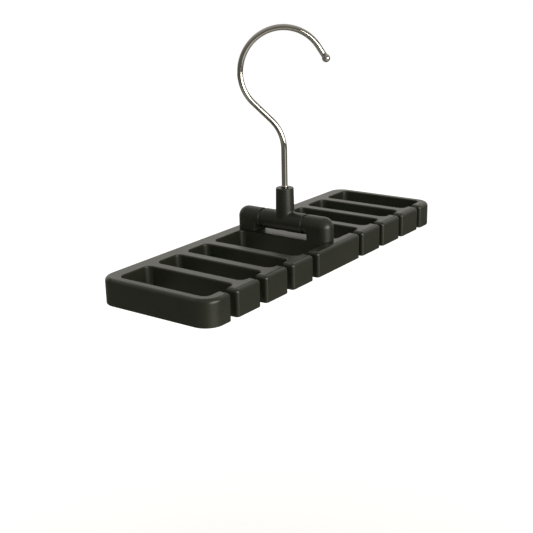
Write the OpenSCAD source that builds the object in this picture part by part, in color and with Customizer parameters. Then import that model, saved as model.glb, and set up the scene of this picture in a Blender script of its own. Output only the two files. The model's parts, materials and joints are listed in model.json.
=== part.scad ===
// Comb hanger for belts and neckties, with a chromed wire hook.
// A long moulded ring carries a row of T-shaped fingers. Each bay between two
// fingers opens to the front through a slot. A T-shaped hub stands over the
// middle of the ring: the ring tilts about the hub's barrel and the hub turns
// about the shank of the hook.
// All sizes are in millimetres, +Z is up, X runs along the ring and the slotted
// side faces -Y. The origin is the point inside the hook that rests on the rod.

/* [Comb ring] */
// Distance between neighbouring slots
pitch = 25; // [22:0.5:30]
// Distance from the outermost slot to the end of the ring
end_l = 20; // [17:0.5:28]
// Width of the ring from the back rail to the slotted side
ring_w = 76; // [70:1:90]
// Height of all rails, fingers and heads
rail_h = 15; // [12:0.5:20]
// Width of the back rail
back_w = 10; // [8:0.5:11]
// Width of the two end rails
end_w = 6; // [5:0.5:8]
// Thickness of the heads along the slotted side
head_t = 7; // [6:0.5:9]
// Width of a finger
finger_w = 6.5; // [5.5:0.5:8]
// Width of the finger under the hub
bridge_w = 12; // [12:0.5:16]
// Width of the slots on the belt half
belt_slot = 4.5; // [4.5:0.1:6]
// Width of the slots on the tie half
tie_slot = 3; // [2:0.1:4]

/* [Edges] */
// Outer corner radius of the ring in plan
corner_r = 10; // [8:0.5:13]
// Rounding of the outer top edge and of the heads beside the slots
edge_r = 2.5; // [1:0.25:3]
// Rounding of the finger tops
finger_r = 1.5; // [0.75:0.25:2]
// Rounding in plan of the upright edges at the mouths of the slots
mouth_r = 2; // [0.5:0.25:3]
// Radius in the inner corners of the bays
bay_r = 3.5; // [2:0.25:4.5]
// Wall left beside and above the cores under the rails
core_wall = 2; // [1.5:0.1:2.3]

/* [Hub] */
// Height of the tilt axis above the ring
axis_h = 8; // [6.8:0.1:9]
// Diameter of the hub's barrel and of the two brackets
barrel_d = 12; // [11:0.25:13]
// Length of the barrel
barrel_l = 29.2; // [26:0.2:31]
// Diameter of the post where it leaves the barrel
post_base_d = 11.3; // [10:0.1:11.5]
// Diameter of the post at its top
post_top_d = 10.6; // [9:0.1:11]
// Height of the post above the tilt axis
post_h = 20.5; // [17:0.5:28]
// Chamfer round the top of the post and round the ends of the barrel and the necks
rim = 0.3; // [0.2:0.1:1]
// Thickness of the two spacers on the axle
spacer_t = 1.2; // [0.8:0.1:1.6]
// Diameter of the two spacers
spacer_d = 10.6; // [9:0.2:11]
// Diameter of the axle
axle_d = 4; // [3:0.25:4.5]
// Depth of the axle in each bracket
axle_grip = 4; // [3.5:0.1:4.3]
// Length of a bracket, nose included
bracket_l = 17; // [15.5:0.25:19]
// Distance from a bracket's inner face to its screw
screw_in = 6.2; // [6.1:0.1:7.8]
// Diameter of the bracket screws
screw_d = 3; // [2.5:0.1:3.2]
// Diameter of the screw heads
screw_head_d = 5.2; // [4.6:0.1:5.4]
// Height of the screw heads
screw_head_h = 2; // [1.6:0.1:2.6]
// Material between a screw head and the top of the ring
screw_web = 4; // [3:0.25:6]
// Length of a screw in its bracket
screw_bite = 5.5; // [4:0.25:7]
// Length of a bracket's round neck beside the spacer
neck_l = 2.8; // [1:0.2:3.6]

/* [Hook] */
// Diameter of the hook wire
wire_d = 3.5; // [2.8:0.1:4]
// Radius of the hook loop, on the wire's middle line
hook_r = 24.5; // [22:0.5:28]
// Radius of the bend at the top of the shank
bend_r = 25; // [18:0.5:30]
// Lean of the straight run between the bend and the loop
hook_lean = 45; // [40:1:50]
// Straight shank between the post and the bend
shank_l = 22.7; // [16:0.1:40]
// Angle on the loop where the straight tip begins
tip_angle = 33; // [20:1:45]
// Length of the straight tip
tip_l = 8; // [5:0.5:10]
// Diameter of the bead at the tip
bead_d = 4.8; // [4.2:0.1:6]
// Turn of the hook about its shank as it is shown
hook_turn = -48; // [-180:1:180]
// Diameter of the collar at the foot of the shank
collar_d = 4.8; // [4.6:0.1:7]
// Height of the collar
collar_h = 1; // [0.6:0.1:3]
// Height of the roof of the chamber above the tilt axis
chamber_h = 7; // [6.5:0.25:9]
// Diameter of the chamber under the post
chamber_d = 7.4; // [7:0.1:7.8]
// Diameter of the thrust washer and of the push nut
washer_d = 6.6; // [6:0.1:6.6]
// Thickness of the thrust washer
washer_t = 0.8; // [0.5:0.1:1]
// Thickness of the push nut
nut_t = 1.2; // [0.8:0.1:1.4]
// Length of wire below the push nut
wire_tail = 1; // [0.5:0.1:1.2]

/* [Fits] */
// Radial clearance where one piece turns on another
run_gap = 0.06; // [0.03:0.01:0.1]
// Radial clearance where a piece is held still in another
seat_gap = 0.02; // [0:0.01:0.03]
// Axial clearance between faces that turn against each other
face_gap = 0.2; // [0.1:0.05:0.4]
// Radial clearance of a screw in its hole and of its head in the counterbore
screw_gap = 0.2; // [0.1:0.05:0.3]

/* [Hidden] */
$fn = 64;
plastic = [0.17, 0.18, 0.155];
chrome = [0.78, 0.78, 0.79];
steel = [0.62, 0.63, 0.65];
nylon = [0.11, 0.115, 0.11];
// Rounding of the bridge finger's top, small because the brackets stand on it
seat_round = 0.5;
// The wire's bends are thicker by this on the radius, and straight runs reach this
// far into them
bend_swell = 0.02;
bend_grip = 0.4;
// Teeth of the push nut and the width of the slits between them
nut_teeth = 6;
slit_w = 0.4;
// Reach of a cutting shape past the face that it cuts
over = 1;

// Ring in plan. Slot 0 is the belt slot nearest the near end, and no slot is at
// the middle, where the hub stands on the bridge finger.
half_slots = 4;
ring_l = 2 * (half_slots * pitch + end_l);
back_y = ring_w / 2 - back_w;
head_y = -ring_w / 2 + head_t;
function slot_w(i) = i < half_slots ? belt_slot : tie_slot;
function slot_x(i) = (i - half_slots) * pitch;
// Slots on both sides of each finger, from the near end to the far end
finger_slots = [for (i = [0:2 * half_slots - 1]) if (i != half_slots - 1 && i != half_slots) [i, i + 1]];

// Hub, measured up from the top of the ring
barrel_r = barrel_d / 2;
bracket_y = barrel_l / 2 + spacer_t + face_gap;
screw_y = bracket_y + screw_in;
nose_y = bracket_y + bracket_l - barrel_r;
axle_l = 2 * (bracket_y + axle_grip);
post_top = axis_h + post_h;

// Hook, measured up from the top of the ring. The loop's centre is on the
// shank's line: the run between the two bends is what is left between them.
bend_z = post_top + shank_l;
lean_l = ((hook_r + bend_r) * cos(hook_lean) - bend_r) / sin(hook_lean);
loop_z = bend_z + (hook_r + bend_r) * sin(hook_lean) + lean_l * cos(hook_lean);
rod_z = loop_z + hook_r - wire_d / 2;
roof_z = axis_h + chamber_h;
washer_z = roof_z - face_gap - washer_t;
nut_z = washer_z - nut_t;
wire_end_z = nut_z - wire_tail;

// Outlines

// Filling of a bay's corner at the origin, on the side where X has sign s and Y sign t
module corner_fill(s, t) {
  difference() {
    translate([s * bay_r / 2, t * bay_r / 2]) square(bay_r, center = true);
    translate([s * bay_r, t * bay_r]) circle(bay_r);
  }
}

// Core from below: a pocket that leaves the top wall
module core(x0, x1, y0, y1) {
  translate([x0, y0, -rail_h - over]) cube([x1 - x0, y1 - y0, rail_h - core_wall + over]);
}

// Section of a rail of width w, its outer top edge rounded, in X and Y here
module rail_section(w) {
  translate([0, -rail_h]) square([w, rail_h - edge_r]);
  translate([0, -rail_h]) square([w - edge_r, rail_h]);
  translate([w - edge_r, -edge_r]) circle(edge_r);
}

// Outline from x0 to x1 whose two upper corners have radius r, open below
module arch_outline(x0, x1, r, low) {
  translate([x0, low]) square([x1 - x0, -r - low]);
  translate([x0 + r, low]) square([x1 - x0 - 2 * r, -low]);
  for (x = [x0 + r, x1 - r]) translate([x, -r]) circle(r);
}

// Plan outline of a head from x0 to x1, its outer corners rounded, open towards the bays
module mouth_outline(x0, x1) {
  translate([0, -ring_w / 2]) mirror([0, 1]) arch_outline(x0, x1, mouth_r, -head_t - over);
}

// Head between two slots: rounded along its outer top edge, beside the slots and,
// in plan, at the mouths of the slots
module head(x0, x1) {
  intersection() {
    translate([x0, head_y, 0]) rotate([90, 0, 90]) linear_extrude(x1 - x0)
      mirror([1, 0]) rail_section(head_t);
    translate([0, head_y + over, 0]) rotate([90, 0, 0]) linear_extrude(head_t + 2 * over)
      arch_outline(x0, x1, edge_r, -rail_h - over);
    translate([0, 0, -rail_h - over]) linear_extrude(rail_h + 2 * over) mouth_outline(x0, x1);
  }
}

// Finger of width w at x, from the back rail to its head, with round bay corners
module finger_bar(x, w, r) {
  translate([x, back_y, 0]) rotate([90, 0, 0]) linear_extrude(back_y - head_y)
    arch_outline(-w / 2, w / 2, r, -rail_h);
  for (s = [-1, 1], t = [-1, 1])
    translate([x + s * w / 2, t > 0 ? head_y : back_y, -rail_h])
      linear_extrude(rail_h) corner_fill(s, t);
}

// Pieces of the comb ring, one moulding on the real object

module ring_colour() { color(plastic) children(); }

// Back rail: ribs in the channel under it stand behind the fingers
module back_rail() {
  rail_x = ring_l / 2 - corner_r;
  ribs = [for (f = finger_slots) (slot_x(f[0]) + slot_x(f[1])) / 2];
  stops = concat([-rail_x], [for (i = [0:2]) ribs[i]], [0], [for (i = [3:5]) ribs[i]], [rail_x]);
  ring_colour() difference() {
    translate([-rail_x, back_y, 0]) rotate([90, 0, 90]) linear_extrude(2 * rail_x)
      rail_section(back_w);
    for (i = [0:len(stops) - 2])
      core(stops[i] + core_wall / 2, stops[i + 1] - core_wall / 2,
           back_y + core_wall, ring_w / 2 - core_wall);
  }
}

// End rail with both its corners and the short head beside the last slot.
// The rail is drawn at the far end, and s = -1 mirrors it to the near end.
module end_rail(s, slot) {
  head_x = half_slots * pitch + slot / 2;
  turn_x = ring_l / 2 - corner_r;
  turn_y = ring_w / 2 - corner_r;
  bay_x = ring_l / 2 - end_w;
  ring_colour() mirror([s < 0 ? 1 : 0, 0, 0]) difference() {
    union() {
      for (t = [-1, 1]) translate([turn_x, t * turn_y, 0]) rotate([0, 0, t < 0 ? -90 : 0])
        rotate_extrude(angle = 90) rail_section(corner_r);
      translate([turn_x, turn_y, 0]) rotate([90, 0, 0]) linear_extrude(2 * turn_y)
        rail_section(corner_r);
      intersection() {
        translate([head_x, -turn_y, 0]) rotate([90, 0, 90]) linear_extrude(turn_x - head_x)
          mirror([1, 0]) rail_section(corner_r);
        rotate([90, 0, 0]) linear_extrude(ring_w)
          arch_outline(head_x, ring_l, edge_r, -rail_h - over);
        translate([0, 0, -rail_h - over]) linear_extrude(rail_h + 2 * over)
          mouth_outline(head_x, ring_l);
      }
    }
    translate([0, 0, -rail_h - over]) linear_extrude(rail_h + 2 * over) difference() {
      translate([0, head_y]) square([bay_x, back_y - head_y]);
      translate([bay_x, head_y]) corner_fill(-1, 1);
      translate([bay_x, back_y]) corner_fill(-1, -1);
    }
    core(bay_x + core_wall, ring_l / 2 - core_wall, -turn_y, turn_y);
  }
}

module near_end_rail() { end_rail(-1, belt_slot); }
module far_end_rail() { end_rail(1, tie_slot); }

// Finger i and its head, with a core under both
module tee_finger(i) {
  a = finger_slots[i][0];
  b = finger_slots[i][1];
  x0 = slot_x(a) + slot_w(a) / 2;
  x1 = slot_x(b) - slot_w(b) / 2;
  x = (slot_x(a) + slot_x(b)) / 2;
  ring_colour() difference() {
    union() {
      head(x0, x1);
      finger_bar(x, finger_w, finger_r);
    }
    core(x0 + core_wall, x1 - core_wall, core_wall - ring_w / 2, head_y - core_wall);
    core(x - finger_w / 2 + core_wall, x + finger_w / 2 - core_wall,
         core_wall - ring_w / 2, back_y - core_wall);
  }
}

module finger_1() { tee_finger(0); }
module finger_2() { tee_finger(1); }
module finger_3() { tee_finger(2); }
module finger_4() { tee_finger(3); }
module finger_5() { tee_finger(4); }
module finger_6() { tee_finger(5); }

// Wide finger under the hub. Its head fills two pitches, and the bracket screws
// go up through it from counterbores.
module bridge_finger() {
  x0 = slot_x(half_slots - 1) + slot_w(half_slots - 1) / 2;
  x1 = slot_x(half_slots + 1) - slot_w(half_slots + 1) / 2;
  bar_x = bridge_w / 2;
  core_y = screw_y - screw_head_d / 2 - screw_gap - core_wall;
  ring_colour() difference() {
    union() {
      head(x0, x1);
      finger_bar(0, bridge_w, seat_round);
    }
    core(core_wall - bar_x, bar_x - core_wall, -core_y, core_y);
    for (s = [-1, 1])
      core(s > 0 ? bar_x : x0 + core_wall, s > 0 ? x1 - core_wall : -bar_x,
           core_wall - ring_w / 2, head_y - core_wall);
    for (s = [-1, 1]) translate([0, s * screw_y, 0]) {
      translate([0, 0, -rail_h]) cylinder(d = screw_d + 2 * screw_gap, h = rail_h + over);
      translate([0, 0, -rail_h - over])
        cylinder(d = screw_head_d + 2 * screw_gap, h = rail_h - screw_web + over);
    }
  }
}

// Hub over the ring

// Round bar of radius r and height h, its top rim chamfered, and its foot too if both
module rimmed_bar(r, h, both) {
  foot = both ? rim : 0;
  rotate_extrude()
    polygon([[0, 0], [r - foot, 0], [r, foot], [r, h - rim], [r - rim, h], [0, h]]);
}

// Bracket at +Y: a round neck that turns down into a leg with a round nose
module bracket() {
  color(plastic) difference() {
    union() {
      translate([0, nose_y, axis_h]) rotate([90, 0, 0])
        rimmed_bar(barrel_r, nose_y - bracket_y, false);
      translate([0, nose_y, axis_h]) sphere(barrel_r);
      translate([0, nose_y, 0]) cylinder(r = barrel_r, h = axis_h);
      translate([-barrel_r, bracket_y + neck_l, 0])
        cube([barrel_d, nose_y - bracket_y - neck_l, axis_h]);
    }
    translate([0, bracket_y + axle_grip + face_gap, axis_h]) rotate([90, 0, 0])
      cylinder(r = axle_d / 2 + seat_gap, h = axle_grip + face_gap + over);
    translate([0, screw_y, -over]) cylinder(r = screw_d / 2 + seat_gap, h = screw_bite + face_gap + over);
  }
}

module back_bracket() { bracket(); }
module front_bracket() { rotate([0, 0, 180]) bracket(); }

module tilt_axle() {
  color(steel) translate([0, 0, axis_h]) rotate([90, 0, 0])
    cylinder(d = axle_d, h = axle_l, center = true);
}

// Spacer beside the bracket at +Y
module spacer() {
  color(nylon) translate([0, bracket_y, axis_h]) rotate([90, 0, 0]) difference() {
    cylinder(d = spacer_d, h = spacer_t);
    translate([0, 0, -over]) cylinder(r = axle_d / 2 + run_gap, h = spacer_t + 2 * over);
  }
}

module back_spacer() { spacer(); }
module front_spacer() { rotate([0, 0, 180]) spacer(); }

module bracket_screws() {
  color(steel) for (s = [-1, 1]) translate([0, s * screw_y, -screw_web]) {
    cylinder(d = screw_d, h = screw_web + screw_bite);
    translate([0, 0, -screw_head_h]) cylinder(d = screw_head_d, h = screw_head_h);
  }
}

// T-shaped hub: the barrel turns on the axle, and the post holds the hook's shank.
// The chamber is open below, so the washer and nut go on before the axle.
module swivel_hub() {
  chamber_low = axis_h - barrel_r - over;
  color(plastic) difference() {
    union() {
      translate([0, barrel_l / 2, axis_h]) rotate([90, 0, 0]) rimmed_bar(barrel_r, barrel_l, true);
      translate([0, 0, axis_h]) rotate_extrude()
        polygon([[0, 0], [post_base_d / 2, 0], [post_top_d / 2, post_h - rim],
                 [post_top_d / 2 - rim, post_h], [0, post_h]]);
    }
    translate([0, 0, axis_h]) rotate([90, 0, 0])
      cylinder(r = axle_d / 2 + run_gap, h = barrel_l + 2 * over, center = true);
    translate([0, 0, roof_z - over])
      cylinder(r = wire_d / 2 + run_gap, h = post_top - roof_z + 2 * over);
    translate([0, 0, chamber_low]) cylinder(d = chamber_d, h = roof_z - chamber_low);
  }
}

// Hook and what turns with it

// Straight run of wire. It reaches a little into the bends at its ends, which
// are drawn thicker by bend_swell so that the run ends inside them.
module wire_run(length, grip_low, grip_high) {
  translate([0, 0, -grip_low]) cylinder(d = wire_d, h = length + grip_low + grip_high);
}

// Bend of wire in the XZ plane about the origin, from angle a0 to angle a1
module wire_bend(r, a0, a1) {
  rotate([90, 0, 0]) rotate([0, 0, a0]) rotate_extrude(angle = a1 - a0)
    translate([r, 0]) circle(wire_d / 2 + bend_swell);
}

module hook_wire() {
  tip_x = hook_r * cos(tip_angle);
  tip_z = loop_z + hook_r * sin(tip_angle);
  color(chrome) rotate([0, 0, hook_turn]) {
    translate([0, 0, wire_end_z]) wire_run(bend_z - wire_end_z, 0, bend_grip);
    translate([-bend_r, 0, bend_z]) wire_bend(bend_r, 0, hook_lean);
    translate([bend_r * (cos(hook_lean) - 1), 0, bend_z + bend_r * sin(hook_lean)])
      rotate([0, -hook_lean, 0]) wire_run(lean_l, bend_grip, bend_grip);
    translate([0, 0, loop_z]) wire_bend(hook_r, tip_angle, 180 + hook_lean);
    translate([tip_x, 0, tip_z]) rotate([0, 180 - tip_angle, 0]) {
      wire_run(tip_l, bend_grip, 0);
      translate([0, 0, tip_l]) sphere(d = bead_d);
    }
  }
}

// Ring of diameter d and height h round the wire, its foot at z
module wire_ring(d, h, z, gap) {
  translate([0, 0, z]) difference() {
    cylinder(d = d, h = h);
    translate([0, 0, -over]) cylinder(r = wire_d / 2 + gap, h = h + 2 * over);
  }
}

module hook_collar() { color(chrome) wire_ring(collar_d, collar_h, post_top + face_gap, seat_gap); }
module thrust_washer() { color(steel) wire_ring(washer_d, washer_t, washer_z, run_gap); }

// Push nut: slits from its bore leave teeth that grip the wire
module push_nut() {
  color(steel) difference() {
    wire_ring(washer_d, nut_t, nut_z, seat_gap);
    for (k = [0:nut_teeth - 1]) rotate([0, 0, k * 360 / nut_teeth])
      translate([0, -slit_w / 2, nut_z - over]) cube([(wire_d + washer_d) / 4, slit_w, nut_t + 2 * over]);
  }
}

// Everything is drawn up from the top of the ring and then hung from the rod point
module hung() { translate([0, 0, -rod_z]) children(); }

hung() back_rail();
hung() near_end_rail();
hung() far_end_rail();
hung() bridge_finger();
hung() finger_1();
hung() finger_2();
hung() finger_3();
hung() finger_4();
hung() finger_5();
hung() finger_6();
hung() back_bracket();
hung() front_bracket();
hung() tilt_axle();
hung() back_spacer();
hung() front_spacer();
hung() bracket_screws();
hung() swivel_hub();
hung() hook_wire();
hung() hook_collar();
hung() thrust_washer();
hung() push_nut();
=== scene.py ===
import json
import math

import bpy
from mathutils import Matrix, Vector

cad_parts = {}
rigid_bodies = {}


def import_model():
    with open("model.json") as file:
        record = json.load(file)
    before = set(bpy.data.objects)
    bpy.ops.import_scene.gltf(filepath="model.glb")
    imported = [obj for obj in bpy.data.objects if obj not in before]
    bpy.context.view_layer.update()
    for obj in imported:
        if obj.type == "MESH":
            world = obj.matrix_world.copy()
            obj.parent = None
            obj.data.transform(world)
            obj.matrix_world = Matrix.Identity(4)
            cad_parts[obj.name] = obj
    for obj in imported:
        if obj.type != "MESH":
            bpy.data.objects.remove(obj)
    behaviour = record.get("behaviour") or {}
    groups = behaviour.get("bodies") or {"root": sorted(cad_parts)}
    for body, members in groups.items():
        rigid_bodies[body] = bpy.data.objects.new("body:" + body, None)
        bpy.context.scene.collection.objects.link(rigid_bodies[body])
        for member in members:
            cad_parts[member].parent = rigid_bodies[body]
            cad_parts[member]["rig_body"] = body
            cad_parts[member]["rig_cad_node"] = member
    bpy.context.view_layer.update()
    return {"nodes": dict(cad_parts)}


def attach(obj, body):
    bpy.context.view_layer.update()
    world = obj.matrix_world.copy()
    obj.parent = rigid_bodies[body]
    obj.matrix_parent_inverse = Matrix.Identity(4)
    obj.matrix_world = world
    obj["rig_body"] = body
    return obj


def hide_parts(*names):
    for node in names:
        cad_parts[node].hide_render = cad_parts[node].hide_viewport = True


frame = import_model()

# Sizes of the hanger in millimetres, as in the part's source. Pieces are drawn up from
# the top of the ring and then hung from the point on the rod, in metres.
ROD_Z = 118.95357
RING_L, RING_W, RAIL_H = 240.0, 76.0, 15.0
BACK_W, END_W, HEAD_T = 10.0, 6.0, 7.0
FINGER_W, BRIDGE_W = 6.5, 12.0
PITCH, HALF_SLOTS = 25.0, 4
BELT_SLOT, TIE_SLOT = 4.5, 3.0
CORNER_R, EDGE_R, MOUTH_R, BAY_R = 10.0, 2.5, 2.0, 3.5
CORE_WALL, CORE_CORNER_R = 2.0, 0.5
AXIS_H, POST_TOP = 8.0, 28.5
POST_BASE_D, BARREL_D, SADDLE_REACH = 11.3, 12.0, 1.3
BARREL_L, SPACER_T, FACE_GAP = 29.2, 1.2, 0.2
SCREW_IN, SCREW_WEB, SCREW_GAP = 6.2, 4.0, 0.2
SCREW_D, SCREW_HEAD_D, SCREW_HEAD_H, SCREW_TIP_Z = 3.0, 5.2, 2.0, 5.5
RECESS_L, RECESS_W, RECESS_DEEP, RECESS_TURN = 2.8, 0.75, 1.2, 20
SCREW_HEAD_RIM = 1.1
THREAD_ROOT_D, THREAD_PITCH, POINT_L, POINT_R = 2.2, 0.9, 0.8, 0.35
WIRE_D, HOOK_R, BEND_R, HOOK_LEAN = 3.5, 24.5, 25.0, 45.0
SHANK_L, TIP_ANGLE, TIP_L, BEAD_D, HOOK_TURN = 22.7, 33.0, 8.0, 4.8, -48.0
WIRE_END_Z, BEAD_RINGS = 11.8, 14
COLLAR_D, COLLAR_H, COLLAR_RIM = 4.8, 1.0, 0.4

BACK_Y = RING_W / 2 - BACK_W
HEAD_Y = -RING_W / 2 + HEAD_T
SCREW_Y = BARREL_L / 2 + SPACER_T + FACE_GAP + SCREW_IN

# How far a cutter reaches past a face, how near two places count as one, and a millimetre
OVER, NEAR, MM = 2.0, 0.01, 0.001

# Fineness of the hub's and brackets' skin in metres, and rounds of smoothing
SKIN_GRAIN, SKIN_ROUNDS, SADDLE_ROUNDS = 0.00022, 4, 60

# Cosine between two faces below which their edge is a crease
CREASE = 0.9

# Share of the edge rounding that each kind of edge of the ring gets
OUTER, FINGER_SIDE, BAY_END, BRIDGE_SIDE, BOTTOM = 1.0, 0.6, 0.3, 0.2, 0.16

SLOTS = [(side * n * PITCH, BELT_SLOT if side < 0 else TIE_SLOT)
         for side in (-1, 1) for n in range(1, HALF_SLOTS + 1)]
FINGERS = [side * (n + 0.5) * PITCH for side in (-1, 1) for n in range(1, HALF_SLOTS)]


# Working by hand: selection, edit mode and modifiers

def deselect():
    if bpy.context.object and bpy.context.object.mode != "OBJECT":
        bpy.ops.object.mode_set(mode="OBJECT")
    bpy.ops.object.select_all(action="DESELECT")


def hold(piece):
    deselect()
    piece.select_set(True)
    bpy.context.view_layer.objects.active = piece
    return piece


def added(name):
    piece = bpy.context.object
    piece.name = name
    piece.data.name = name
    return piece


def block(name, low, high):
    deselect()
    size = [b - a for a, b in zip(low, high)]
    middle = [(a + b) / 2 for a, b in zip(low, high)]
    bpy.ops.mesh.primitive_cube_add(size=1, location=middle)
    piece = added(name)
    piece.scale = size
    bpy.ops.object.transform_apply(location=True, rotation=True, scale=True)
    return piece


def round_bar(name, radius, length, middle, sides):
    deselect()
    bpy.ops.mesh.primitive_cylinder_add(vertices=sides, radius=radius, depth=length, location=middle)
    piece = added(name)
    bpy.ops.object.transform_apply(location=True, rotation=True, scale=True)
    return piece


def pick_edges(piece, wanted):
    """Leaves piece in edit mode with the edges selected whose two ends pass wanted(a, b)."""
    hold(piece)
    bpy.ops.object.mode_set(mode="EDIT")
    bpy.ops.mesh.select_mode(type="EDGE")
    bpy.ops.mesh.select_all(action="DESELECT")
    bpy.ops.object.mode_set(mode="OBJECT")
    mesh = piece.data
    for edge in mesh.edges:
        a, b = (mesh.vertices[v].co for v in edge.vertices)
        edge.select = wanted(a, b)
    bpy.ops.object.mode_set(mode="EDIT")


def upright(a, b):
    return abs(a.x - b.x) < NEAR and abs(a.y - b.y) < NEAR


def bevel_picked(width, steps):
    bpy.ops.mesh.bevel(offset=width, segments=steps, profile=0.5, affect="EDGES", clamp_overlap=False)
    bpy.ops.object.mode_set(mode="OBJECT")


def use(piece, kind, **settings):
    hold(piece)
    modifier = piece.modifiers.new(kind.title(), kind)
    for name, value in settings.items():
        setattr(modifier, name, value)
    bpy.ops.object.modifier_apply(modifier=modifier.name)


def combine(piece, other, operation):
    use(piece, "BOOLEAN", operation=operation, object=other, solver="EXACT")
    bpy.data.objects.remove(other)


def turned(name, outline, steps):
    """Draws an outline of (radius, height) points from one point on, and spins it round."""
    deselect()
    bpy.ops.mesh.primitive_plane_add(size=1, location=(outline[0][0], 0, outline[0][1]))
    piece = added(name)
    bpy.ops.object.transform_apply(location=True, rotation=True, scale=True)
    bpy.ops.object.mode_set(mode="EDIT")
    bpy.ops.mesh.select_mode(type="VERT")
    bpy.ops.mesh.select_all(action="SELECT")
    bpy.ops.mesh.merge(type="CENTER")
    for (r0, z0), (r1, z1) in zip(outline, outline[1:]):
        bpy.ops.mesh.extrude_region_move(TRANSFORM_OT_translate={"value": (r1 - r0, 0, z1 - z0)})
    bpy.ops.mesh.select_all(action="SELECT")
    bpy.ops.mesh.spin(steps=steps, angle=math.tau, center=(0, 0, 0), axis=(0, 0, 1))
    bpy.ops.mesh.select_all(action="SELECT")
    bpy.ops.mesh.remove_doubles(threshold=NEAR / 20)
    bpy.ops.mesh.normals_make_consistent(inside=False)
    bpy.ops.object.mode_set(mode="OBJECT")
    return piece


def joined(pieces, name):
    deselect()
    for piece in pieces:
        piece.select_set(True)
    bpy.context.view_layer.objects.active = pieces[0]
    bpy.ops.object.join()
    return added(name)


def smooth(piece, angle=35):
    hold(piece)
    bpy.ops.object.shade_smooth_by_angle(angle=math.radians(angle))


def hang(piece):
    """Puts a finished piece in its place: metres, with the rod point as origin."""
    piece.data.transform(Matrix.Translation((0, 0, -ROD_Z * MM)) @ Matrix.Scale(MM, 4))
    piece.data.update()


# Materials

def finish_nodes(name):
    material = bpy.data.materials.new(name)
    material.use_nodes = True
    nodes, links = material.node_tree.nodes, material.node_tree.links
    return material, nodes, links, nodes["Principled BSDF"], nodes.new("ShaderNodeTexCoord")


def noise(nodes, links, place, scale, detail=3, rough=0.5, stretch=None):
    made = nodes.new("ShaderNodeTexNoise")
    made.inputs["Scale"].default_value = scale
    made.inputs["Detail"].default_value = detail
    made.inputs["Roughness"].default_value = rough
    source = place
    if stretch:
        mapping = nodes.new("ShaderNodeMapping")
        mapping.inputs["Scale"].default_value = stretch
        links.new(place, mapping.inputs["Vector"])
        source = mapping.outputs["Vector"]
    links.new(source, made.inputs["Vector"])
    return made.outputs["Fac"]


def ramp(nodes, links, source, low, high, low_at=0.35, high_at=0.65):
    made = nodes.new("ShaderNodeValToRGB")
    made.color_ramp.elements[0].position = low_at
    made.color_ramp.elements[1].position = high_at
    made.color_ramp.elements[0].color = low
    made.color_ramp.elements[1].color = high
    links.new(source, made.inputs["Fac"])
    return made.outputs["Color"]


def spread(nodes, links, source, low, high):
    made = nodes.new("ShaderNodeMapRange")
    made.inputs["To Min"].default_value = low
    made.inputs["To Max"].default_value = high
    links.new(source, made.inputs["Value"])
    return made.outputs["Result"]


def bump(nodes, links, layers):
    normal = None
    for height, strength, distance in layers:
        made = nodes.new("ShaderNodeBump")
        made.inputs["Strength"].default_value = strength
        made.inputs["Distance"].default_value = distance
        links.new(height, made.inputs["Height"])
        if normal:
            links.new(normal, made.inputs["Normal"])
        normal = made.outputs["Normal"]
    return normal


def moulded_plastic(name, low, high, rough_low, rough_high, grain):
    material, nodes, links, shader, coord = finish_nodes(name)
    place = coord.outputs["Object"]
    flow = noise(nodes, links, place, 45, detail=4, stretch=(0.5, 1, 1))
    links.new(ramp(nodes, links, flow, low, high), shader.inputs["Base Color"])
    wipe = noise(nodes, links, place, 120, detail=5, rough=0.6, stretch=(1, 0.35, 1))
    links.new(spread(nodes, links, wipe, rough_low, rough_high), shader.inputs["Roughness"])
    fine = noise(nodes, links, place, 2600, detail=2)
    slow = noise(nodes, links, place, 150, detail=2)
    links.new(bump(nodes, links, [(slow, 0.1, 0.0002), (fine, grain, 0.00005)]), shader.inputs["Normal"])
    shader.inputs["IOR"].default_value = 1.49
    return material


def plated_metal(name, low, high, rough_low, rough_high, brush):
    material, nodes, links, shader, coord = finish_nodes(name)
    place = coord.outputs["Object"]
    cloud = noise(nodes, links, place, 90, detail=4)
    links.new(ramp(nodes, links, cloud, low, high), shader.inputs["Base Color"])
    wipe = noise(nodes, links, place, 260, detail=4, rough=0.6, stretch=(1, 1, 0.3))
    links.new(spread(nodes, links, wipe, rough_low, rough_high), shader.inputs["Roughness"])
    fine = noise(nodes, links, place, 1400, detail=2)
    links.new(bump(nodes, links, [(fine, brush, 0.00002)]), shader.inputs["Normal"])
    shader.inputs["Metallic"].default_value = 1.0
    return material


comb_plastic = moulded_plastic("comb_plastic", (0.0108, 0.0128, 0.008, 1), (0.0145, 0.0166, 0.011, 1),
                               0.3, 0.41, 0.12)
hub_plastic = moulded_plastic("hub_plastic", (0.0104, 0.012, 0.008, 1), (0.0138, 0.0155, 0.0109, 1),
                              0.33, 0.43, 0.08)
spacer_nylon = moulded_plastic("spacer_nylon", (0.016, 0.017, 0.014, 1), (0.024, 0.025, 0.022, 1),
                               0.25, 0.34, 0.03)
hook_chrome = plated_metal("hook_chrome", (0.55, 0.54, 0.515, 1), (0.62, 0.61, 0.585, 1), 0.05, 0.11, 0.03)
zinc_steel = plated_metal("zinc_steel", (0.48, 0.49, 0.5, 1), (0.62, 0.62, 0.6, 1), 0.24, 0.38, 0.12)


def finished(piece, material, slot, body, *nodes):
    piece.data.materials.clear()
    piece.data.materials.append(material)
    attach(piece, body)
    if nodes:
        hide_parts(*nodes)
    return piece


# The comb ring: one moulding, from one plate

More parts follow.
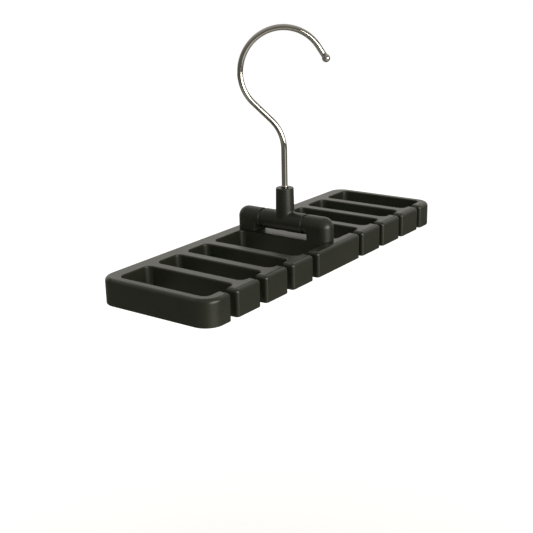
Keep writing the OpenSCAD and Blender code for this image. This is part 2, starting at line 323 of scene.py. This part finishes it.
def comb_moulding():
    ring = block("comb_moulding", (-RING_L / 2, -RING_W / 2, -RAIL_H), (RING_L / 2, RING_W / 2, 0))
    pick_edges(ring, upright)
    bevel_picked(CORNER_R, 10)

    walls = sorted([-RING_L / 2 + END_W, RING_L / 2 - END_W, -BRIDGE_W / 2, BRIDGE_W / 2]
                   + [x + s * FINGER_W / 2 for x in FINGERS for s in (-1, 1)])
    bays = []
    for left, right in zip(walls[::2], walls[1::2]):
        bay = block("bay", (left, HEAD_Y, -RAIL_H - OVER), (right, BACK_Y, OVER))
        pick_edges(bay, upright)
        bevel_picked(BAY_R, 6)
        bays.append(bay)
    combine(ring, joined(bays, "bays"), "DIFFERENCE")
    gaps = [block("slot", (x - w / 2, -RING_W / 2 - OVER, -RAIL_H - OVER), (x + w / 2, HEAD_Y + 1, OVER))
            for x, w in SLOTS]
    combine(ring, joined(gaps, "slots"), "DIFFERENCE")

    # Round the slot mouths in plan
    def slot_mouth(a, b):
        return upright(a, b) and abs(a.y + RING_W / 2) < NEAR and any(
            abs(abs(a.x - x) - w / 2) < NEAR for x, w in SLOTS)
    pick_edges(ring, slot_mouth)
    bevel_picked(MOUTH_R, 5)
    return ring


def weigh(ring, wanted, weight):
    """Sets the bevel weight of the wanted edges where two faces meet at an angle."""
    facing = {}
    for face in ring.data.polygons:
        for key in face.edge_keys:
            facing.setdefault(key, []).append(face.normal.copy())
    corners = {key for key, normals in facing.items()
               if len(normals) == 2 and normals[0].dot(normals[1]) < CREASE}
    places = {v.co.to_tuple(4): v.index for v in ring.data.vertices}

    def creased(a, b):
        pair = sorted((places[a.to_tuple(4)], places[b.to_tuple(4)]))
        return wanted(a, b) and tuple(pair) in corners
    pick_edges(ring, creased)
    bpy.ops.transform.edge_bevelweight(value=weight)
    bpy.ops.object.mode_set(mode="OBJECT")


def round_ring_edges(ring):
    """Gives each top edge its rounding: large outside and beside the slots, small in the bays."""
    def level(a, b, z):
        return abs(a.z - z) < NEAR and abs(b.z - z) < NEAR

    def in_bay(p):
        return abs(p.x) < RING_L / 2 - END_W + 0.05 and HEAD_Y - 0.05 < p.y < BACK_Y + 0.05

    def slot_side(p):
        return p.y < HEAD_Y + 0.05 and any(abs(p.x - x) < w / 2 + 0.05 for x, w in SLOTS)

    def grade(a, b):
        if not (in_bay(a) and in_bay(b)) or (slot_side(a) and slot_side(b)):
            return OUTER
        middle = (a + b) / 2
        if HEAD_Y + BAY_R - 0.1 < middle.y < BACK_Y - BAY_R + 0.1 and abs(middle.x) < RING_L / 2 - END_W - 1:
            return FINGER_SIDE if abs(middle.x) > BRIDGE_W else BRIDGE_SIDE
        return BAY_END

    for weight in (OUTER, FINGER_SIDE, BAY_END, BRIDGE_SIDE):
        weigh(ring, lambda a, b: level(a, b, 0) and grade(a, b) == weight, weight)
    weigh(ring, lambda a, b: level(a, b, -RAIL_H), BOTTOM)
    use(ring, "BEVEL", width=EDGE_R, limit_method="WEIGHT", segments=5, use_clamp_overlap=False,
        harden_normals=False, miter_outer="MITER_SHARP")


def cored(ring):
    """Channels under the rails, heads and fingers, with ribs behind the fingers."""
    low, roof = -RAIL_H - OVER, -CORE_WALL
    cuts = []
    ribs = sorted(FINGERS + [0.0])
    stops = [-RING_L / 2 + CORNER_R] + ribs + [RING_L / 2 - CORNER_R]
    for a, b in zip(stops, stops[1:]):
        cuts.append(((a + CORE_WALL / 2, BACK_Y + CORE_WALL), (b - CORE_WALL / 2, RING_W / 2 - CORE_WALL)))
    for side in (-1, 1):
        ends = sorted([side * (RING_L / 2 - CORE_WALL), side * (RING_L / 2 - END_W + CORE_WALL)])
        cuts.append(((ends[0], CORNER_R - RING_W / 2), (ends[1], RING_W / 2 - CORNER_R)))
    for x in FINGERS:
        w = BELT_SLOT if x < 0 else TIE_SLOT
        half = PITCH / 2 - w / 2 - CORE_WALL
        cuts.append(((x - half, CORE_WALL - RING_W / 2), (x + half, HEAD_Y - CORE_WALL)))
        half = FINGER_W / 2 - CORE_WALL
        cuts.append(((x - half, HEAD_Y - CORE_WALL - 1), (x + half, BACK_Y - CORE_WALL)))
    left, right = -PITCH + BELT_SLOT / 2 + CORE_WALL, PITCH - TIE_SLOT / 2 - CORE_WALL
    for a, b in ((left, -BRIDGE_W / 2), (BRIDGE_W / 2, right)):
        cuts.append(((a, CORE_WALL - RING_W / 2), (b, HEAD_Y - CORE_WALL)))
    reach = SCREW_Y - SCREW_HEAD_D / 2 - SCREW_GAP - CORE_WALL
    cuts.append(((CORE_WALL - BRIDGE_W / 2, -reach), (BRIDGE_W / 2 - CORE_WALL, reach)))
    for a, b in cuts:
        pocket = block("pocket", (a[0], a[1], low), (b[0], b[1], roof))
        pick_edges(pocket, upright)
        bevel_picked(CORE_CORNER_R, 2)
        combine(ring, pocket, "DIFFERENCE")
    for side in (-1, 1):
        bore = round_bar("bore", SCREW_D / 2 + SCREW_GAP, RAIL_H + 2 * OVER,
                         (0, side * SCREW_Y, -RAIL_H / 2), sides=32)
        combine(ring, bore, "DIFFERENCE")
        depth = RAIL_H - SCREW_WEB + OVER
        well = round_bar("well", SCREW_HEAD_D / 2 + SCREW_GAP, depth,
                         (0, side * SCREW_Y, -SCREW_WEB - depth / 2), sides=40)
        combine(ring, well, "DIFFERENCE")


ring = comb_moulding()
round_ring_edges(ring)
cored(ring)
smooth(ring)
use(ring, "WEIGHTED_NORMAL", keep_sharp=True, weight=60)
hang(ring)
finished(ring, comb_plastic, "comb_plastic", "ring", "back_rail", "near_end_rail", "far_end_rail",
         "bridge_finger", "finger_1", "finger_2", "finger_3", "finger_4", "finger_5", "finger_6")


# Hub and brackets: the moulded forms with their edges softened

def softened(node, name):
    """Copies a solid, merges its mesh, and gives it an even skin with soft edges."""
    deselect()
    source = frame["nodes"][node]
    piece = source.copy()
    piece.data = source.data.copy()
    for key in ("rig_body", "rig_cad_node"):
        if key in piece:
            del piece[key]
    piece.parent = None
    bpy.context.scene.collection.objects.link(piece)
    piece.name = name
    piece.data.name = name
    hold(piece)
    bpy.ops.object.mode_set(mode="EDIT")
    bpy.ops.mesh.select_all(action="SELECT")
    bpy.ops.mesh.remove_doubles(threshold=0.000001)
    bpy.ops.object.mode_set(mode="OBJECT")
    use(piece, "REMESH", mode="VOXEL", voxel_size=SKIN_GRAIN, adaptivity=0)
    use(piece, "SMOOTH", factor=0.5, iterations=SKIN_ROUNDS)
    smooth(piece, 60)
    return piece


def fillet_saddle(hub):
    """Blends the foot of the post into the barrel, by smoothing the skin where they meet."""
    post, barrel, reach = POST_BASE_D / 2 * MM, BARREL_D / 2 * MM, SADDLE_REACH * MM
    hold(hub)
    bpy.ops.object.mode_set(mode="EDIT")
    bpy.ops.mesh.select_mode(type="VERT")
    bpy.ops.mesh.select_all(action="DESELECT")
    bpy.ops.object.mode_set(mode="OBJECT")
    for point in hub.data.vertices:
        x, y, z = point.co
        crest = (AXIS_H - ROD_Z) * MM + math.sqrt(max(barrel ** 2 - x ** 2, 0))
        point.select = abs(math.hypot(x, y) - post) < reach and abs(z - crest) < reach
    bpy.ops.object.mode_set(mode="EDIT")
    bpy.ops.mesh.vertices_smooth(factor=0.5, repeat=SADDLE_ROUNDS)
    bpy.ops.object.mode_set(mode="OBJECT")


for node, body in (("swivel_hub", "hub"), ("back_bracket", "ring"), ("front_bracket", "ring")):
    moulding = softened(node, node + "_moulding")
    if node == "swivel_hub":
        fillet_saddle(moulding)
    finished(moulding, hub_plastic, "hub_plastic", body, node)


# Hook: a wire drawn on from a circle, run by run and bend by bend

def hook_wire():
    deselect()
    bpy.ops.mesh.primitive_circle_add(vertices=32, radius=WIRE_D / 2, fill_type="NGON",
                                      location=(0, 0, WIRE_END_Z))
    wire = added("bent_wire")
    bpy.ops.object.transform_apply(location=True, rotation=True, scale=True)
    hold(wire)
    bpy.ops.object.mode_set(mode="EDIT")
    bpy.ops.mesh.select_mode(type="FACE")
    bpy.ops.mesh.select_all(action="SELECT")
    lean = math.radians(HOOK_LEAN)
    lean_l = ((HOOK_R + BEND_R) * math.cos(lean) - BEND_R) / math.sin(lean)
    bend_z = POST_TOP + SHANK_L
    loop_z = bend_z + (HOOK_R + BEND_R) * math.sin(lean) + lean_l * math.cos(lean)
    tip = math.radians(TIP_ANGLE)

    def run(x, z):
        bpy.ops.mesh.extrude_region_move(TRANSFORM_OT_translate={"value": (x, 0, z)})

    def turn(centre, angle, steps):
        bpy.ops.mesh.spin(steps=steps, angle=angle, center=centre, axis=(0, 1, 0))

    for k in range(8):
        run(0, (bend_z - WIRE_END_Z) / 8)
    turn((-BEND_R, 0, bend_z), lean, 16)
    for k in range(3):
        run(-lean_l * math.sin(lean) / 3, lean_l * math.cos(lean) / 3)
    turn((0, 0, loop_z), -(math.pi + lean - tip), 72)
    ahead = Vector((math.sin(tip), 0, -math.cos(tip)))
    bead, neck = BEAD_D / 2, math.asin(WIRE_D / BEAD_D)
    straight = TIP_L - bead * math.cos(neck)
    for k in range(3):
        run(ahead.x * straight / 3, ahead.z * straight / 3)

    # The bead swells out of the wire's end, ring by ring, and closes in a point
    end = Vector((HOOK_R * math.cos(tip), 0, loop_z + HOOK_R * math.sin(tip)))
    rings = [neck + (math.pi - neck) * k / BEAD_RINGS for k in range(BEAD_RINGS)]
    for back, front in zip(rings, rings[1:]):
        step = bead * (math.cos(back) - math.cos(front))
        run(ahead.x * step, ahead.z * step)
        at = end + ahead * (TIP_L - bead * math.cos(front))
        bpy.ops.transform.resize(value=(math.sin(front) / math.sin(back),) * 3, center_override=at)
    last = bead * (math.cos(rings[-1]) + 1)
    run(ahead.x * last, ahead.z * last)
    bpy.ops.mesh.merge(type="CENTER")
    bpy.ops.object.mode_set(mode="OBJECT")
    wire.data.transform(Matrix.Rotation(math.radians(HOOK_TURN), 4, "Z"))
    smooth(wire, 40)
    hang(wire)
    return wire


finished(hook_wire(), hook_chrome, "hook_chrome", "hook", "hook_wire")


def collar():
    low, high = POST_TOP + FACE_GAP, POST_TOP + FACE_GAP + COLLAR_H
    bore, outside, rim = WIRE_D / 2 + NEAR, COLLAR_D / 2, COLLAR_RIM
    outline = [(bore, low)]
    for k in range(5):
        angle = math.radians(22.5 * k)
        outline.append((outside - rim + rim * math.sin(angle), low + rim - rim * math.cos(angle)))
    for k in range(5):
        angle = math.radians(22.5 * k)
        outline.append((outside - rim + rim * math.cos(angle), high - rim + rim * math.sin(angle)))
    outline += [(bore, high), (bore, low)]
    piece = turned("shank_collar", outline, 64)
    smooth(piece)
    hang(piece)
    return piece


finished(collar(), hook_chrome, "hook_chrome", "hook", "hook_collar")


# Bracket screws: pan heads with a cross recess, on threaded shanks

def bracket_screws():
    under, low = -SCREW_WEB, -SCREW_WEB - SCREW_HEAD_H
    root, crest, rim = THREAD_ROOT_D / 2, SCREW_D / 2 - NEAR, SCREW_HEAD_RIM
    outline = [(0, low)]
    for k in range(6):
        angle = math.radians(18 * k)
        outline.append((SCREW_HEAD_D / 2 - rim + rim * math.sin(angle), low + rim - rim * math.cos(angle)))
    outline += [(SCREW_HEAD_D / 2, under), (root, under)]
    z = under + THREAD_PITCH
    while z + THREAD_PITCH < SCREW_TIP_Z - POINT_L:
        outline += [(root, z), (crest, z + THREAD_PITCH * 0.4), (crest, z + THREAD_PITCH * 0.55)]
        z += THREAD_PITCH
    outline += [(root, z), (POINT_R, SCREW_TIP_Z), (0, SCREW_TIP_Z)]

    head = turned("cross_head_screw", outline, 32)
    for turn in (0, 90):
        recess = block("recess", (-RECESS_L / 2, -RECESS_W / 2, low - OVER),
                       (RECESS_L / 2, RECESS_W / 2, low + RECESS_DEEP))
        recess.data.transform(Matrix.Rotation(math.radians(RECESS_TURN + turn), 4, "Z"))
        combine(head, recess, "DIFFERENCE")
    smooth(head, 30)
    pair = []
    for side in (-1, 1):
        deselect()
        copy = head.copy()
        copy.data = head.data.copy()
        bpy.context.scene.collection.objects.link(copy)
        copy.data.transform(Matrix.Translation((0, side * SCREW_Y, 0)))
        pair.append(copy)
    bpy.data.objects.remove(head)
    pair = joined(pair, "cross_head_screws")
    hang(pair)
    return pair


finished(bracket_screws(), zinc_steel, "zinc_steel", "ring", "bracket_screws")


# Nodes that keep their shape

for node, material in (("tilt_axle", zinc_steel), ("thrust_washer", zinc_steel), ("push_nut", zinc_steel),
                       ("back_spacer", spacer_nylon), ("front_spacer", spacer_nylon)):
    kept = frame["nodes"][node]
    for place in range(len(kept.material_slots)):
        kept.material_slots[place].material = material


# Camera at the photograph's angle

SHOT_AZIMUTH, SHOT_ELEVATION, SHOT_ROLL = -53.984, 17.713, -1.258
SHOT_DISTANCE, FOCAL_PX, IMAGE_PX, SENSOR = 0.557184, 964.344, 533, 36.0
SHOT_TARGET = Vector((-0.028268, -0.00596, -0.011934 - ROD_Z * MM))


def camera():
    azimuth, elevation, roll = (math.radians(v) for v in (SHOT_AZIMUTH, SHOT_ELEVATION, SHOT_ROLL))
    back = Vector((math.sin(azimuth) * math.cos(elevation), -math.cos(azimuth) * math.cos(elevation),
                   math.sin(elevation)))
    level = (-back).cross(Vector((0, 0, 1))).normalized()
    lift = level.cross(-back)
    right = level * math.cos(roll) + lift * math.sin(roll)
    up = lift * math.cos(roll) - level * math.sin(roll)
    stand = SHOT_TARGET + back * SHOT_DISTANCE
    bpy.ops.object.camera_add(location=stand)
    shot = bpy.context.object
    shot.name = "photo_camera"
    shot.matrix_world = Matrix.Translation(stand) @ Matrix((right, up, back)).transposed().to_4x4()
    shot.data.sensor_width = SENSOR
    shot.data.sensor_fit = "HORIZONTAL"
    shot.data.lens = FOCAL_PX / IMAGE_PX * SENSOR
    shot.data.clip_start = 0.01
    bpy.context.scene.camera = shot


deselect()
camera()


# Floor, lamps and room

def toward(turn, height):
    """Direction from the hanger, turn degrees to the right of the camera and height degrees up."""
    around = math.radians(SHOT_AZIMUTH + turn)
    up = math.radians(height)
    return Vector((math.sin(around) * math.cos(up), -math.cos(around) * math.cos(up), math.sin(up)))


# Middle of the hanger, the lamps' slightly warm colour, and the floor's height
MIDDLE = Vector((0, 0, -0.11))
LAMP_COLOUR = (1.0, 0.98, 0.89)
FLOOR_Z, FLOOR_SIZE = -0.55, 8


def softbox(name, direction, distance, width, height, power, mirrored=True):
    spot = MIDDLE + direction * distance
    bpy.ops.object.light_add(type="AREA", location=spot)
    lamp = bpy.context.object
    lamp.name = name
    lamp.data.shape = "RECTANGLE"
    lamp.data.size, lamp.data.size_y = width, height
    lamp.data.energy = power
    lamp.data.color = LAMP_COLOUR
    lamp.rotation_euler = direction.to_track_quat("Z", "Y").to_euler()
    lamp.visible_glossy = mirrored
    return lamp


softbox("window_right", toward(44, 8), 1.2, 0.95, 0.42, 12.5)
softbox("bounce_low", toward(46, -16), 1.2, 0.9, 0.35, 0.55)
softbox("fill_above", toward(30, 62), 1.2, 1.0, 1.0, 6.5, mirrored=False)
softbox("fill_right", toward(88, 16), 0.9, 0.5, 0.5, 0.6, mirrored=False)
softbox("fill_left", toward(-40, 20), 1.4, 0.9, 0.9, 4.5, mirrored=False)

bpy.ops.mesh.primitive_plane_add(size=FLOOR_SIZE, location=(0, 0, FLOOR_Z))
floor = added("floor")
bpy.ops.object.transform_apply(location=True, rotation=True, scale=True)


def pale_floor():
    material = bpy.data.materials.new("pale_floor")
    material.use_nodes = True
    nodes, links = material.node_tree.nodes, material.node_tree.links
    shader = nodes["Principled BSDF"]
    shader.inputs["Base Color"].default_value = (0.3, 0.29, 0.27, 1)
    shader.inputs["Roughness"].default_value = 0.9
    shader.inputs["Specular IOR Level"].default_value = 0.0
    place = nodes.new("ShaderNodeTexCoord")
    reach = nodes.new("ShaderNodeVectorMath")
    reach.operation = "LENGTH"
    links.new(place.outputs["Object"], reach.inputs[0])
    near = nodes.new("ShaderNodeMapRange")  # less glow near the hanger, so that its shadow shows
    near.interpolation_type = "SMOOTHSTEP"
    near.inputs["From Max"].default_value = 1.1
    near.inputs["To Min"].default_value = 0.3
    links.new(reach.outputs["Value"], near.inputs["Value"])
    glow = nodes.new("ShaderNodeEmission")
    glow.inputs["Color"].default_value = (1, 1, 1, 1)
    links.new(near.outputs["Result"], glow.inputs["Strength"])
    seen = nodes.new("ShaderNodeAddShader")
    links.new(glow.outputs["Emission"], seen.inputs[0])
    links.new(shader.outputs["BSDF"], seen.inputs[1])
    path = nodes.new("ShaderNodeLightPath")
    mix = nodes.new("ShaderNodeMixShader")
    links.new(path.outputs["Is Camera Ray"], mix.inputs["Fac"])
    links.new(shader.outputs["BSDF"], mix.inputs[1])
    links.new(seen.outputs["Shader"], mix.inputs[2])
    links.new(mix.outputs["Shader"], nodes["Material Output"].inputs["Surface"])
    return material


floor.data.materials.append(pale_floor())


def room():
    """White to the camera. In reflections: a white backdrop behind the hanger, a dim room elsewhere."""
    world = bpy.data.worlds.new("room")
    bpy.context.scene.world = world
    world.use_nodes = True
    nodes, links = world.node_tree.nodes, world.node_tree.links
    nodes.clear()
    coord = nodes.new("ShaderNodeTexCoord")
    facing = nodes.new("ShaderNodeMapping")
    facing.inputs["Rotation"].default_value = (0, 0, math.radians(-SHOT_AZIMUTH))
    links.new(coord.outputs["Generated"], facing.inputs["Vector"])
    split = nodes.new("ShaderNodeSeparateXYZ")
    links.new(facing.outputs["Vector"], split.inputs["Vector"])

    def tone(source, stops):
        scaled = nodes.new("ShaderNodeMapRange")
        scaled.inputs["From Min"].default_value = -1
        links.new(source, scaled.inputs["Value"])
        made = nodes.new("ShaderNodeValToRGB")
        ends = made.color_ramp.elements
        for place, (at, colour) in zip((ends[0], ends[-1]), (stops[0], stops[-1])):
            place.position, place.color = (at + 1) / 2, (*colour, 1)
        for at, colour in stops[1:-1]:
            ends.new((at + 1) / 2).color = (*colour, 1)
        links.new(scaled.outputs["Result"], made.inputs["Fac"])
        return made.outputs["Color"]

    dim = tone(split.outputs["Z"], [(-1, (0.2, 0.19, 0.17)), (0.0, (0.13, 0.123, 0.11)),
                                    (0.4, (0.18, 0.17, 0.155)), (0.9, (0.42, 0.4, 0.37))])
    behind = tone(split.outputs["Y"], [(0.3, (0, 0, 0)), (0.75, (0.95, 0.92, 0.84))])
    low = tone(split.outputs["Z"], [(0.6, (1, 1, 1)), (0.95, (0.3, 0.3, 0.3))])
    backdrop = nodes.new("ShaderNodeMix")
    backdrop.data_type = "RGBA"
    backdrop.blend_type = "MULTIPLY"
    backdrop.inputs["Factor"].default_value = 1.0
    links.new(behind, backdrop.inputs["A"])
    links.new(low, backdrop.inputs["B"])
    both = nodes.new("ShaderNodeMix")
    both.data_type = "RGBA"
    both.blend_type = "SCREEN"
    both.inputs["Factor"].default_value = 1.0
    links.new(dim, both.inputs["A"])
    links.new(backdrop.outputs["Result"], both.inputs["B"])
    lit = nodes.new("ShaderNodeBackground")
    links.new(both.outputs["Result"], lit.inputs["Color"])
    seen = nodes.new("ShaderNodeBackground")
    seen.inputs["Color"].default_value = (1, 1, 1, 1)
    path = nodes.new("ShaderNodeLightPath")
    mix = nodes.new("ShaderNodeMixShader")
    out = nodes.new("ShaderNodeOutputWorld")
    links.new(path.outputs["Is Camera Ray"], mix.inputs["Fac"])
    links.new(lit.outputs["Background"], mix.inputs[1])
    links.new(seen.outputs["Background"], mix.inputs[2])
    links.new(mix.outputs["Shader"], out.inputs["Surface"])


room()
bpy.context.scene.view_settings.view_transform = "Standard"
